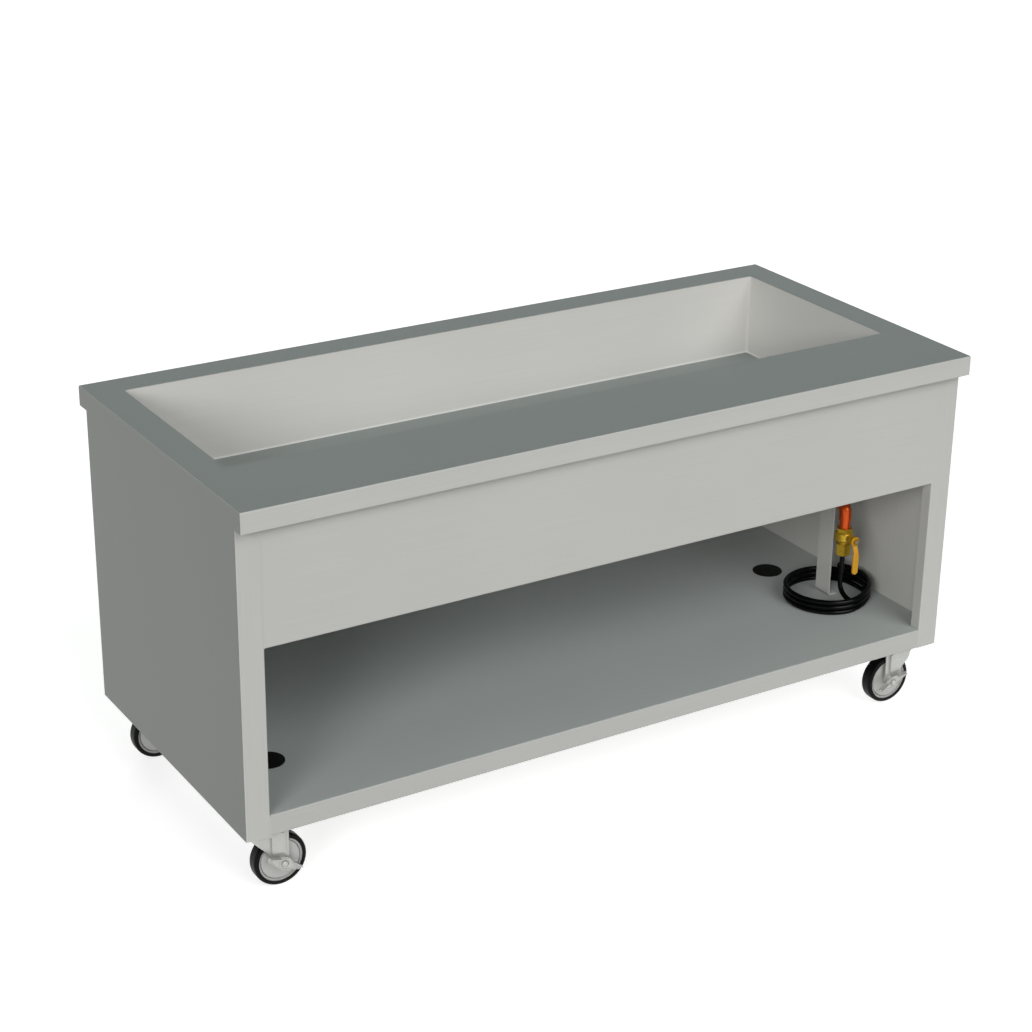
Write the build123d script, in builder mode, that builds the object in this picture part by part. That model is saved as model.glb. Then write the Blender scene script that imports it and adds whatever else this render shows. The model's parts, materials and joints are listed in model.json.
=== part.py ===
import math
import os

from build123d import *

os.makedirs("parts", exist_ok=True)

# Frame: floor at z = 0, +X along the counter, -Y the open front, +Y the closed rear. Millimetres.

# Overall body
counter_length = 1880.0
counter_width = 838.0
counter_height = 919.0
body_bottom = 158.0
front_overhang = 32.0
rear_overhang = 32.0

# Sheet gauges
top_gauge = 2.0
body_gauge = 1.5
well_gauge = 1.5
jacket_gauge = 1.2
channel_gauge = 2.5
bend_radius = 1.5

# Countertop
edge_drop = 47.0
edge_return = 14.0
top_bend_radius = 3.0
top_corner_radius = 1.5

# Cold well, set into the countertop by the width of the rim on each side
end_rim = 76.0
front_rim = 231.0
rear_rim = 80.0
well_depth = 207.0
well_corner_radius = 6.0
cove_radius = 5.0
side_insulation = 38.0
floor_insulation = 50.0

# Body panels
stile_width = 56.5
stile_return = 30.0
rear_return = 25.0
panel_hem = 20.0
apron_bottom = 595.5
apron_return = 25.0
shelf_lip = 49.0
shelf_flange = 25.0

# Stiffener under the front rim, a hat section
hat_height = 25.0
hat_flange = 15.0
hat_side_gap = 21.0
hat_end_gap = 30.0

# Shelf plugs, each placed from its own end and from the front of the body
plug_diameter = 76.0
plug_hole = 70.0
plug_flange = 1.6
plug_depth = 8.0
plug_wall = 2.0
plug_clearance = 0.1
plug_insets = {"left": (157.0, 215.0), "right": (168.5, 469.0)}

# Casters
wheel_diameter = 124.0
wheel_width = 32.0
tyre_thickness = 10.0
tyre_round = 7.0
hub_width = 34.0
hub_boss_radius = 15.0
hub_web = 23.0
hub_lip = 4.0
hub_groove = 3.0
hub_groove_depth = 3.0
axle_diameter = 10.0
axle_trail = 35.0
caster_inset_x = 67.0
caster_inset_y = 94.0
plate_length = 100.0
plate_width = 74.0
plate_gauge = 3.5
plate_corner = 8.0
bolt_pitch_x = 76.0
bolt_pitch_y = 50.0
bolt_diameter = 8.0
bolt_head = 13.0
bolt_head_height = 5.0
bolt_clearance = 0.2
race_radius = 31.0
race_height = 13.0
kingpin_diameter = 12.0
kingpin_head_radius = 11.0
kingpin_head_height = 5.0
crown_gauge = 6.0
crown_radius = 35.0
fork_gauge = 3.2
fork_inner_gap = 37.0
leg_width = 34.0
leg_end_radius = 16.0
yoke_overhang = 35.0
yoke_edge = 8.0
yoke_slope_run = 36.0
yoke_slope_drop = 44.0
rib_width = 31.0
rib_gauge = 6.0
rib_level = 26.0
rib_setback = 10.0
rib_corner = 4.0
axle_head_radius = 7.5
axle_head_height = 6.0
axle_head_round = 5.0
running_clearance = 0.1
swivel_gap = 0.3

# Brake levers on the two front casters
brake_gauge = 2.5
brake_spacer = 8.0
brake_hub_radius = 15.0
brake_tip_radius = 5.5
brake_reach = 39.0
brake_flange = 24.0
brake_tab = 12.0
brake_rim = 1.8
brake_rim_height = 1.5
brake_boss_radius = 12.0
brake_recess_radius = 9.5
brake_tilt = {"left": -28.0, "right": 22.0}

# Drain: well outlet, copper pipework and its bracket; heights are above the shelf
drain_inset = 64.0
drain_sleeve = 42.0
drain_tail = 34.0
drain_flange_diameter = 76.0
drain_flange_gauge = 2.0
strainer_diameter = 60.0
strainer_gauge = 1.5
strainer_hole = 6.0
locknut_width = 56.0
locknut_height = 10.0
gasket_gauge = 3.0
gasket_diameter = 62.0
hole_clearance = 0.3
pipe_diameter = 28.0
pipe_wall = 1.2
pipe_clearance = 0.05
run_height = 274.0
fitting_wall = 1.4
socket_depth = 16.0
elbow_radius = 24.0
bracket_gauge = 4.0
bracket_width = 52.0
bracket_setback = 87.0
bracket_foot = 26.0
strap_gauge = 1.5
strap_width = 16.0
strap_tab = 14.0

# Ball valve, measured up from its lower end; its lever turns about the stem, towards the front
valve_setback = 210.0
valve_low = 143.0
valve_length = 71.0
ball_level = 49.0
ball_diameter = 26.0
ball_clearance = 0.3
valve_bore = 19.0
valve_socket = 8.0
chamber_diameter = 46.0
chamber_half = 13.5
chamber_round = 7.0
collar_width = 36.0
lower_width = 34.0
neck_diameter = 29.0
neck_height = 6.0
seat_gauge = 3.2
stem_diameter = 9.0
stem_seat = 9.0
boss_diameter = 22.0
boss_reach = 33.0
packing_width = 20.0
packing_height = 9.0
lever_gauge = 3.0
lever_width = 13.0
lever_hub_radius = 11.5
lever_crank = 6.0
lever_crank_start = 14.0
lever_crank_end = 28.0
lever_length = 81.0
grip_wall = 1.6
grip_length = 58.0
grip_tip = 5.0
grip_round = 1.4
lever_nut_width = 14.0
lever_nut_height = 6.0
adapter_diameter = 24.0
adapter_depth = 14.0
adapter_flange = 28.0
adapter_lip = 2.0
adapter_bore = 8.0

# Drain hose: soft rubber, led down and out to the coil's right edge, then wound up on the shelf
hose_diameter = 12.5
shelf_clearance = 0.3
# The stretch from the valve to the coil, from the valve's axis and the hose's rest on the shelf
hose_points = [
    (0.0, 0.0, 90.0),
    (-4.0, -1.0, 41.0),
    (20.0, -14.0, 5.0),
    (62.0, -22.0, 0.0),
    (94.0, 5.0, 0.0),
    (103.5, 32.0, 0.0),
]
coil_offset = (4.0, 55.0)
coil_radius = 104.5
coil_pitch = 13.2
# The coil's angles in degrees from its right edge; it climbs by one layer near the end of each turn
coil_start = 20.0
climb_start = 255.0
climb_end = 322.0
coil_turns = 3
coil_end = 1110.0

# Places that follow from the sizes above
half_length = counter_length / 2
half_width = counter_width / 2
top_under = counter_height - top_gauge
body_half = half_length - top_gauge
body_front = front_overhang - half_width
body_rear = half_width - rear_overhang
inner_half = body_half - body_gauge
rear_inner = body_rear - 2 * body_gauge
stile_inner = body_half - stile_width
return_end = body_front + stile_return
shelf_top = body_bottom + shelf_lip
shelf_under = shelf_top - body_gauge
well_length = counter_length - 2 * end_rim
well_width = counter_width - front_rim - rear_rim
well_y = half_width - rear_rim - well_width / 2
well_floor = counter_height - well_depth
liner_under = well_floor - well_gauge
flange_under = top_under - well_gauge
liner_size = (well_length + 2 * well_gauge, well_width + 2 * well_gauge)
foam_size = (liner_size[0] + 2 * side_insulation, liner_size[1] + 2 * side_insulation)
jacket_size = (foam_size[0] + 2 * jacket_gauge, foam_size[1] + 2 * jacket_gauge)
foam_under = liner_under - floor_insulation
jacket_under = foam_under - jacket_gauge
drain_hole = drain_sleeve + 2 * hole_clearance
run_z = shelf_top + run_height
swivel_x = half_length - caster_inset_x
swivel_y = half_width - caster_inset_y
drain_x = well_length / 2 - drain_inset
valve_y = body_front + valve_setback
bracket_y = valve_y + bracket_setback
coil_center = (drain_x + coil_offset[0], valve_y + coil_offset[1])
plug_spots = {}
for side, side_name in ((-1, "left"), (1, "right")):
    end_inset, front_inset = plug_insets[side_name]
    plug_spots[side_name] = (side * (half_length - end_inset), body_front + front_inset)


def save(builder, name):
    """Label a finished piece and write it to its own file."""
    builder.part.label = name
    export_step(builder.part, f"parts/{name}.step")


def bent_sheet(points, gauge):
    """Section of a bent sheet: a line, that line moved left by the gauge, and a round at each bend."""
    normals = []
    for start, end in zip(points, points[1:]):
        length = math.dist(start, end)
        normals.append(((start[1] - end[1]) / length, (end[0] - start[0]) / length))
    befores = [normals[0]] + normals
    afters = normals + [normals[-1]]
    moved = []
    for (x, y), before, after in zip(points, befores, afters):
        mitre = gauge / (1 + before[0] * after[0] + before[1] * after[1])
        moved.append((x + mitre * (before[0] + after[0]), y + mitre * (before[1] + after[1])))
    left_bends = [a[0] * b[1] > a[1] * b[0] for a, b in zip(normals, normals[1:])]
    with BuildLine() as outline:
        FilletPolyline(*points, radius=[bend_radius + gauge * left for left in left_bends])
        FilletPolyline(*moved, radius=[bend_radius + gauge * (not left) for left in left_bends])
        Line(points[0], moved[0])
        Line(points[-1], moved[-1])
    make_face(outline.edges())


def well_block(size, radius, low, high, mode=Mode.ADD):
    """Round-cornered block about the well's centre, between two heights."""
    with BuildSketch(Plane.XY.offset(low)) as outline:
        with Locations((0, well_y)):
            RectangleRounded(size[0], size[1], radius)
    extrude(outline.sketch, amount=high - low, mode=mode)


# Countertop: one folded sheet with a turned-down edge and the well's opening
with BuildPart() as countertop:
    with BuildSketch(Plane.XY.offset(counter_height - edge_drop)):
        RectangleRounded(counter_length, counter_width, top_corner_radius)
    extrude(amount=edge_drop)
    fillet(countertop.faces().sort_by(Axis.Z)[-1].edges(), top_bend_radius)
    with BuildSketch(Plane.XY.offset(counter_height - edge_drop)):
        Rectangle(2 * body_half, counter_width - 2 * top_gauge)
    extrude(amount=edge_drop - top_gauge, mode=Mode.SUBTRACT)
    with BuildSketch(Plane.XY.offset(counter_height - edge_drop)):
        with GridLocations(0, counter_width - 2 * top_gauge - edge_return, 1, 2):
            Rectangle(2 * body_half, edge_return)
    extrude(amount=top_gauge)
    well_block((well_length, well_width), well_corner_radius, top_under, counter_height, Mode.SUBTRACT)
save(countertop, "countertop")

# Well liner: welded pan with coved corners, flange under the countertop and a drain hole
with BuildPart() as cold_well_liner:
    well_block(liner_size, well_corner_radius + well_gauge, liner_under, flange_under)
    well_block(jacket_size, well_corner_radius, flange_under, top_under)
    well_block((well_length, well_width), well_corner_radius, well_floor, top_under, Mode.SUBTRACT)
    well_face = cold_well_liner.faces().filter_by_position(Axis.Z, well_floor - 0.1, well_floor + 0.1)
    fillet(well_face.edges(), cove_radius)
    with BuildSketch(Plane.XY.offset(liner_under)):
        with Locations((drain_x, well_y)):
            Circle(drain_hole / 2)
    extrude(amount=well_gauge, mode=Mode.SUBTRACT)
save(cold_well_liner, "cold_well_liner")

# Foam between the liner and its jacket
with BuildPart() as well_insulation:
    well_block(foam_size, well_corner_radius, foam_under, flange_under)
    well_block(liner_size, well_corner_radius + well_gauge, liner_under, flange_under, Mode.SUBTRACT)
    with BuildSketch(Plane.XY.offset(foam_under)):
        with Locations((drain_x, well_y)):
            Circle(drain_hole / 2)
    extrude(amount=floor_insulation, mode=Mode.SUBTRACT)
save(well_insulation, "well_insulation")

# Outer jacket of the well, a tray that hangs from the liner's flange
with BuildPart() as well_jacket:
    well_block(jacket_size, well_corner_radius + jacket_gauge, jacket_under, flange_under)
    well_block(foam_size, well_corner_radius, foam_under, flange_under, Mode.SUBTRACT)
    with BuildSketch(Plane.XY.offset(jacket_under)):
        with Locations((drain_x, well_y)):
            Circle(drain_hole / 2)
    extrude(amount=jacket_gauge, mode=Mode.SUBTRACT)
save(well_jacket, "well_jacket")

# End panels, each bent round the front into a stile with a return, and round the rear corner
for side, side_name in ((-1, "left"), (1, "right")):
    bends = [
        (stile_inner, return_end),
        (stile_inner, body_front),
        (body_half, body_front),
        (body_half, body_rear),
        (body_half - rear_return, body_rear),
    ]
    panel_line = [(side * x, y) for x, y in bends][::side]
    with BuildPart() as end_panel:
        with BuildSketch(Plane.XY.offset(body_bottom)):
            bent_sheet(panel_line, body_gauge)
        extrude(amount=top_under - body_bottom)
    save(end_panel, f"{side_name}_end_panel")


def folded_panel(points, gauge, half_span):
    """Sheet bent along X: its line in the YZ plane, carried to both sides of the middle."""
    with BuildSketch(Plane.YZ) as section:
        bent_sheet(points, gauge)
    extrude(section.sketch, amount=half_span, both=True)


# Rear panel, lapped inside the end panels' rear returns, with a hem along the bottom
with BuildPart() as rear_panel:
    rear_face = rear_inner + body_gauge
    rear_line = [(rear_face - panel_hem, body_bottom), (rear_face, body_bottom), (rear_face, top_under)]
    folded_panel(rear_line, body_gauge, inner_half - bend_radius)
save(rear_panel, "rear_panel")

# Front apron between the stiles, with a return at the bottom and a flange under the countertop
with BuildPart() as front_apron:
    apron_line = [
        (body_front + apron_return, top_under),
        (body_front, top_under),
        (body_front, apron_bottom),
        (body_front + apron_return, apron_bottom),
    ]
    folded_panel(apron_line, body_gauge, stile_inner)
save(front_apron, "front_apron")

# Hat stiffener under the front rim
with BuildPart() as front_stiffener:
    hat_front = body_front + apron_return + hat_side_gap
    hat_rear = well_y - jacket_size[1] / 2 - hat_side_gap
    hat_low = top_under - hat_height
    hat_flange_under = top_under - body_gauge
    hat_line = [
        (hat_front, hat_flange_under),
        (hat_front + hat_flange, hat_flange_under),
        (hat_front + hat_flange, hat_low),
        (hat_rear - hat_flange, hat_low),
        (hat_rear - hat_flange, hat_flange_under),
        (hat_rear, hat_flange_under),
    ]
    folded_panel(hat_line, body_gauge, inner_half - hat_end_gap)
save(front_stiffener, "front_stiffener")

# Bottom shelf: front lip, notched round the stiles, flanges down at the ends and the rear
with BuildPart() as bottom_shelf:
    shelf_line = [
        (body_front + panel_hem, body_bottom),
        (body_front, body_bottom),
        (body_front, shelf_top),
        (rear_inner, shelf_top),
        (rear_inner, shelf_top - shelf_flange),
    ]
    folded_panel(shelf_line[::-1], body_gauge, stile_inner)
    for side in (-1, 1):
        wing = inner_half - stile_inner
        with BuildSketch(Plane.XY.offset(shelf_under)):
            with Locations((side * (stile_inner + wing / 2), (return_end + rear_inner) / 2)):
                Rectangle(wing, rear_inner - return_end)
        extrude(amount=body_gauge)
        with BuildSketch(Plane.XY.offset(shelf_top - shelf_flange)):
            with Locations((side * (inner_half - body_gauge / 2), (return_end + rear_inner) / 2)):
                Rectangle(body_gauge, rear_inner - return_end)
        extrude(amount=shelf_flange)
    with BuildSketch(Plane.XY.offset(shelf_under)):
        with Locations(*plug_spots.values()):
            Circle(plug_hole / 2)
    extrude(amount=body_gauge, mode=Mode.SUBTRACT)
save(bottom_shelf, "bottom_shelf")

# Push-in plugs that close the two round holes in the shelf
for side_name, (plug_x, plug_y) in plug_spots.items():
    with BuildPart() as shelf_plug:
        with BuildSketch(Plane((plug_x, plug_y, shelf_top))):
            Circle(plug_diameter / 2)
        extrude(amount=plug_flange)
        fillet(shelf_plug.faces().sort_by(Axis.Z)[-1].edges(), plug_flange / 2)
        with BuildSketch(Plane((plug_x, plug_y, shelf_top))):
            Circle(plug_hole / 2 - plug_clearance)
            Circle(plug_hole / 2 - plug_clearance - plug_wall, mode=Mode.SUBTRACT)
        extrude(amount=-plug_depth)
    save(shelf_plug, f"shelf_plug_{side_name}")

# Caster channels across the body under the shelf, web down
channel_width = plate_length
for side, side_name in ((-1, "left"), (1, "right")):
    with BuildPart() as caster_channel:
        channel_line = [
            (side * swivel_x - channel_width / 2, shelf_under),
            (side * swivel_x - channel_width / 2, body_bottom),
            (side * swivel_x + channel_width / 2, body_bottom),
            (side * swivel_x + channel_width / 2, shelf_under),
        ]
        channel_rear = rear_inner - panel_hem
        with BuildSketch(Plane.XZ.offset(-channel_rear)):
            bent_sheet(channel_line, channel_gauge)
        extrude(amount=channel_rear - return_end)
        with BuildSketch(Plane.XY.offset(body_bottom)):
            for end in (-1, 1):
                with Locations((side * swivel_x, end * swivel_y)):
                    with GridLocations(bolt_pitch_x, bolt_pitch_y, 2, 2):
                        Circle(bolt_diameter / 2 + bolt_clearance)
        extrude(amount=channel_gauge, mode=Mode.SUBTRACT)
    save(caster_channel, f"{side_name}_caster_channel")

# Heights inside a caster, from the plate down, and what its axle passes through
plate_under = body_bottom - plate_gauge
race_under = plate_under - race_height
crown_top = race_under - swivel_gap
crown_under = crown_top - crown_gauge
kingpin_head_top = crown_under - swivel_gap
axle_height = wheel_diameter / 2
hub_radius = wheel_diameter / 2 - tyre_thickness
fork_half = fork_inner_gap / 2 + fork_gauge
lever_stack = brake_spacer + brake_gauge + 2 * swivel_gap


def caster_plate(x, y, name):
    """Top plate with the upper ball race and the riveted kingpin below it."""
    with BuildPart() as plate:
        with BuildSketch(Plane((x, y, plate_under))):
            RectangleRounded(plate_length, plate_width, plate_corner)
            with GridLocations(bolt_pitch_x, bolt_pitch_y, 2, 2):
                Circle(bolt_diameter / 2 + bolt_clearance, mode=Mode.SUBTRACT)
        extrude(amount=plate_gauge)
        with BuildSketch(Plane((x, y, 0), x_dir=(1, 0, 0), z_dir=(0, -1, 0))):
            with BuildLine():
                Polyline(
                    (0, plate_under),
                    (race_radius - race_height / 2, plate_under),
                    (race_radius, plate_under - race_height / 2),
                    (race_radius, race_under),
                    (kingpin_diameter / 2, race_under),
                    (kingpin_diameter / 2, kingpin_head_top),
                    (kingpin_head_radius, kingpin_head_top),
                    (kingpin_head_radius - kingpin_head_height / 2, kingpin_head_top - kingpin_head_height),
                    (0, kingpin_head_top - kingpin_head_height),
                    close=True,
                )
            make_face()
        revolve(axis=Axis((x, y, 0), (0, 0, 1)))
    save(plate, f"caster_plate_{name}")


def caster_fork(x, y, inboard, name):
    """Pressed yoke: a crown round the kingpin, and ribbed legs joined by a round wall behind the wheel."""
    axle_x = x + inboard * axle_trail
    foot_z = axle_height - leg_end_radius
    wall_end = -axle_trail - yoke_overhang
    wall_center = wall_end + fork_half
    rib_height = crown_under - axle_height - rib_level
    with BuildPart() as fork:
        with BuildSketch(Plane((axle_x, y, foot_z), x_dir=(inboard, 0, 0), z_dir=(0, 0, 1))):
            for half, mode in ((fork_half, Mode.ADD), (fork_inner_gap / 2, Mode.SUBTRACT)):
                with Locations((wall_center, 0)):
                    Circle(half, mode=mode)
                    Rectangle(
                        leg_width / 2 - wall_center, 2 * half, align=(Align.MIN, Align.CENTER), mode=mode
                    )
        extrude(amount=crown_under - foot_z)
        with BuildSketch(Plane((axle_x, y, 0), x_dir=(inboard, 0, 0), z_dir=(0, -inboard, 0))):
            with BuildLine():
                Polyline(
                    (leg_width / 2, crown_under),
                    (wall_end, crown_under),
                    (wall_end, crown_under - yoke_edge),
                    (wall_end + yoke_slope_run, crown_under - yoke_slope_drop),
                    (-leg_end_radius, axle_height),
                    (leg_end_radius, axle_height),
                    close=True,
                )
            make_face()
            with Locations((0, axle_height)):
                Circle(leg_end_radius)
                Circle(axle_diameter / 2 + running_clearance / 2, mode=Mode.SUBTRACT)
        extrude(amount=2 * fork_half, both=True, mode=Mode.INTERSECT)
        with BuildSketch(Plane((x, y, crown_under))):
            Circle(crown_radius)
            with Locations((inboard * axle_trail, 0)):
                Rectangle(leg_width, 2 * fork_half)
            make_hull()
            Circle(kingpin_diameter / 2 + running_clearance, mode=Mode.SUBTRACT)
        extrude(amount=crown_gauge)
        for out in (-1, 1):
            rib_middle = (
                axle_x - inboard * rib_setback,
                y + out * fork_half,
                crown_under - rib_height / 2,
            )
            with BuildSketch(Plane(rib_middle, x_dir=(1, 0, 0), z_dir=(0, out, 0))):
                RectangleRounded(rib_width, rib_height, rib_corner)
            extrude(amount=rib_gauge)
    save(fork, f"caster_fork_{name}")


def caster_axle(x, y, inboard, name, front_stack):
    """Axle bolt along Y: a domed head clear of the brake lever in front, a hex nut behind."""
    axle_x = x + inboard * axle_trail
    head_y = y - fork_half - front_stack
    nut_y = y + fork_half
    with BuildPart() as axle:
        with BuildSketch(Plane((axle_x, head_y, axle_height), x_dir=(1, 0, 0), z_dir=(0, 1, 0))):
            Circle(axle_diameter / 2)
        extrude(amount=nut_y + axle_head_height - head_y)
        with BuildSketch(Plane((axle_x, head_y, axle_height), x_dir=(1, 0, 0), z_dir=(0, -1, 0))):
            Circle(axle_head_radius)
        extrude(amount=axle_head_height)
        fillet(axle.faces().sort_by(Axis.Y)[0].edges(), axle_head_round)
        with BuildSketch(Plane((axle_x, nut_y, axle_height), x_dir=(1, 0, 0), z_dir=(0, 1, 0))):
            RegularPolygon(axle_head_radius, 6)
        extrude(amount=axle_head_height)
    save(axle, f"caster_axle_{name}")


def caster_wheel(x, y, inboard, name):
    """Metal hub, a disc with a boss and a grooved lip, and the tyre bonded round it."""
    axle_x = x + inboard * axle_trail
    wheel_axis = Axis((axle_x, y, axle_height), (0, 1, 0))
    section = Plane((axle_x, y, axle_height), x_dir=(0, 1, 0), z_dir=(1, 0, 0))
    bore = axle_diameter / 2 + running_clearance
    half_rim = wheel_width / 2 - tyre_round / 2
    with BuildPart() as hub:
        with BuildSketch(section):
            with BuildLine():
                half_section = [
                    (hub_width / 2, bore),
                    (hub_width / 2, hub_boss_radius),
                    (hub_web / 2, hub_boss_radius),
                    (hub_web / 2, hub_radius - hub_lip - hub_groove),
                    (hub_web / 2 - hub_groove_depth, hub_radius - hub_lip - hub_groove / 2),
                    (half_rim, hub_radius - hub_lip),
                    (half_rim, hub_radius),
                ]
                Polyline(*half_section, *[(-z, r) for z, r in reversed(half_section)], close=True)
            make_face()
        revolve(axis=wheel_axis)
    save(hub, f"wheel_hub_{name}")
    with BuildPart() as tyre:
        with BuildSketch(section) as tyre_section:
            with Locations((0, hub_radius + tyre_thickness / 2)):
                Rectangle(wheel_width, tyre_thickness)
            fillet(tyre_section.vertices().group_by(Axis.Y)[-1], tyre_round)
        revolve(axis=wheel_axis)
    save(tyre, f"tyre_{name}")


def caster_brake(x, y, inboard, name, tilt):
    """See-saw brake lever on the axle bolt, spaced off the fork, with a foot flange on each tapered arm."""
    axle_x = x + inboard * axle_trail
    lean = math.radians(tilt)
    face = Plane(
        (axle_x, y - fork_half - swivel_gap - brake_spacer, axle_height),
        x_dir=(math.cos(lean), 0, math.sin(lean)),
        z_dir=(0, -1, 0),
    )
    edge_lean = math.asin((brake_hub_radius - brake_tip_radius) / brake_reach)
    edge_offset = brake_hub_radius - brake_gauge / 2
    edge_middle = brake_reach * math.cos(edge_lean) - brake_flange / 2
    flange_x = edge_offset * math.sin(edge_lean) + edge_middle * math.cos(edge_lean)
    flange_z = edge_offset * math.cos(edge_lean) - edge_middle * math.sin(edge_lean)
    with BuildPart() as brake:
        with BuildSketch(face) as arms:
            Circle(brake_hub_radius)
            with GridLocations(2 * brake_reach, 0, 2, 1):
                Circle(brake_tip_radius)
            make_hull()
        extrude(amount=brake_gauge)
        with BuildSketch(face):
            add(arms.sketch_local)
            offset(amount=-brake_rim, mode=Mode.SUBTRACT)
            Circle(brake_boss_radius)
            Circle(brake_recess_radius, mode=Mode.SUBTRACT)
        extrude(amount=brake_gauge + brake_rim_height)
        with BuildSketch(face):
            for end in (-1, 1):
                with Locations((end * flange_x, flange_z)):
                    Rectangle(brake_flange, brake_gauge, rotation=-end * math.degrees(edge_lean))
        extrude(amount=brake_gauge + brake_tab)
        with BuildSketch(face):
            Circle(brake_boss_radius)
        extrude(amount=-brake_spacer)
        with BuildSketch(face.offset(-brake_spacer)):
            Circle(axle_diameter / 2 + running_clearance)
        extrude(amount=brake_spacer + brake_gauge, mode=Mode.SUBTRACT)
    save(brake, f"brake_lever_{name}")


# Four swivel casters, with the front pair braked; each wheel trails towards the middle
for depth, depth_name in ((-1, "front"), (1, "rear")):
    for side, side_name in ((-1, "left"), (1, "right")):
        corner = f"{depth_name}_{side_name}"
        caster_x = side * swivel_x
        caster_y = depth * swivel_y
        braked = depth_name == "front"
        caster_plate(caster_x, caster_y, corner)
        caster_fork(caster_x, caster_y, -side, corner)
        caster_axle(caster_x, caster_y, -side, corner, lever_stack if braked else 0)
        caster_wheel(caster_x, caster_y, -side, corner)
        if braked:
            caster_brake(caster_x, caster_y, -side, corner, brake_tilt[side_name])

# Bolts that hold the caster plates to the channels, head below and nut above
with BuildPart() as caster_bolts:
    bolt_spots = [(side * swivel_x, depth * swivel_y) for side in (-1, 1) for depth in (-1, 1)]
    for height, grip, sides in (
        (plate_under - bolt_head_height, bolt_head_height, 6),
        (plate_under, plate_gauge + channel_gauge, 0),
        (body_bottom + channel_gauge, bolt_head_height, 6),
    ):
        with BuildSketch(Plane.XY.offset(height)):
            for spot in bolt_spots:
                with Locations(spot):
                    with GridLocations(bolt_pitch_x, bolt_pitch_y, 2, 2):
                        if sides:
                            RegularPolygon(bolt_head / 2, sides, major_radius=False)
                        else:
                            Circle(bolt_diameter / 2)
        extrude(amount=grip)
save(caster_bolts, "caster_bolts")

# Drain outlet: flange on the well floor, sleeve down through the foam and a socket for the riser
tail_low = jacket_under - drain_tail
with BuildPart() as drain_outlet:
    with BuildSketch(Plane((drain_x, well_y, 0), x_dir=(1, 0, 0), z_dir=(0, -1, 0))):
        with BuildLine():
            Polyline(
                (pipe_diameter / 2 - pipe_wall, well_floor + drain_flange_gauge),
                (drain_flange_diameter / 2 - drain_flange_gauge, well_floor + drain_flange_gauge),
                (drain_flange_diameter / 2, well_floor),
                (drain_sleeve / 2, well_floor),
                (drain_sleeve / 2, tail_low),
                (pipe_diameter / 2 + pipe_clearance, tail_low),
                (pipe_diameter / 2 + pipe_clearance, tail_low + socket_depth),
                (pipe_diameter / 2 - pipe_wall, tail_low + socket_depth),
                close=True,
            )
        make_face()
    revolve(axis=Axis((drain_x, well_y, 0), (0, 0, 1)))
save(drain_outlet, "drain_outlet")

# Strainer plate over the outlet
with BuildPart() as drain_strainer:
    with BuildSketch(Plane((drain_x, well_y, well_floor + drain_flange_gauge))):
        Circle(strainer_diameter / 2)
        Circle(strainer_hole / 2, mode=Mode.SUBTRACT)
        for ring, count in ((strainer_diameter / 6, 6), (strainer_diameter / 3, 12)):
            with PolarLocations(ring, count):
                Circle(strainer_hole / 2, mode=Mode.SUBTRACT)
    extrude(amount=strainer_gauge)
save(drain_strainer, "drain_strainer")

# Gasket and locknut under the jacket
with BuildPart() as drain_gasket:
    with BuildSketch(Plane((drain_x, well_y, jacket_under))):
        Circle(gasket_diameter / 2)
        Circle(drain_hole / 2, mode=Mode.SUBTRACT)
    extrude(amount=-gasket_gauge)
save(drain_gasket, "drain_gasket")

with BuildPart() as drain_locknut:
    with BuildSketch(Plane((drain_x, well_y, jacket_under - gasket_gauge))):
        RegularPolygon(locknut_width / 2, 6, major_radius=False)
        Circle(drain_hole / 2, mode=Mode.SUBTRACT)
    extrude(amount=-locknut_height)
save(drain_locknut, "drain_locknut")


def copper_pipe(start, end, name):
    """Straight length of copper tube between two points on its axis."""
    axis = Vector(*end) - Vector(*start)
    with BuildPart() as pipe:
        with BuildSketch(Plane(start, z_dir=axis)):
            Circle(pipe_diameter / 2)
            Circle(pipe_diameter / 2 - pipe_wall, mode=Mode.SUBTRACT)
        extrude(amount=axis.length)
    save(pipe, name)


def copper_elbow(corner, mouth_a, mouth_b, name):
    """Ninety-degree elbow with a socket at each mouth; the mouths are unit directions from the corner."""
    leg = elbow_radius + socket_depth
    center = Vector(*corner)
    ends = [center + Vector(*mouth) * leg for mouth in (mouth_a, mouth_b)]
    with BuildPart() as elbow:
        with BuildLine() as route:
            FilletPolyline(ends[0], center, ends[1], radius=elbow_radius)
        entry = Plane(ends[0], z_dir=center - ends[0])
        with BuildSketch(entry):
            Circle(pipe_diameter / 2 + fitting_wall)
        sweep(path=route.line)
        with BuildSketch(entry):
            Circle(pipe_diameter / 2 - pipe_wall)
        sweep(path=route.line, mode=Mode.SUBTRACT)
        for end in ends:
            with BuildSketch(Plane(end, z_dir=center - end)):
                Circle(pipe_diameter / 2 + pipe_clearance)
            extrude(amount=socket_depth, mode=Mode.SUBTRACT)
    save(elbow, name)


# Copper pipework: down from the outlet, forward along the bracket, and down to the valve
valve_bottom = shelf_top + valve_low
valve_top = valve_bottom + valve_length
riser_top = tail_low + socket_depth
drop_low = valve_top - valve_socket
copper_pipe((drain_x, well_y, run_z + elbow_radius), (drain_x, well_y, riser_top), "drain_riser")
copper_elbow((drain_x, well_y, run_z), (0, 0, 1), (0, -1, 0), "drain_elbow_rear")
copper_pipe((drain_x, well_y - elbow_radius, run_z), (drain_x, valve_y + elbow_radius, run_z), "drain_run")
copper_elbow((drain_x, valve_y, run_z), (0, 1, 0), (0, 0, -1), "drain_elbow_front")
copper_pipe((drain_x, valve_y, run_z - elbow_radius), (drain_x, valve_y, drop_low), "drain_drop")

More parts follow.
